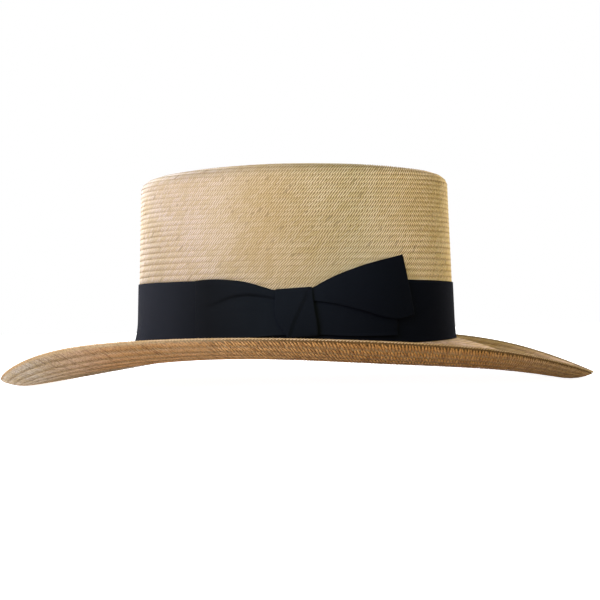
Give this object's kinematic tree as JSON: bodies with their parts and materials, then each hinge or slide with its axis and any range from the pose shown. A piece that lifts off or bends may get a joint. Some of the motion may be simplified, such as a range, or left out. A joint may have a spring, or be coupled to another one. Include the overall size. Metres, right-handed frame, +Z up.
{
  "type": "gambler hat",
  "caption": "Woven straw hat with an oval flat-topped crown, a wide brim curled up at its edge, a black ribbon band and a flat side bow.",
  "frame": {"origin": "on the surface that the hat rests on, under the middle of its outline", "axes": "+Z up, -Y to the front of the hat, +X to the wearer's left, where the bow is"},
  "size_m": [0.3316, 0.373, 0.1293],
  "materials": {
    "straw": "matte woven straw in herringbone rows",
    "ribbon": "matte ribbed ribbon"
  },
  "bodies": {
    "root": {"straw_body": "straw", "ribbon_band": "ribbon", "bow_front_loop": "ribbon", "bow_rear_loop": "ribbon", "bow_tail": "ribbon", "bow_knot": "ribbon"}
  },
  "joints": []
}
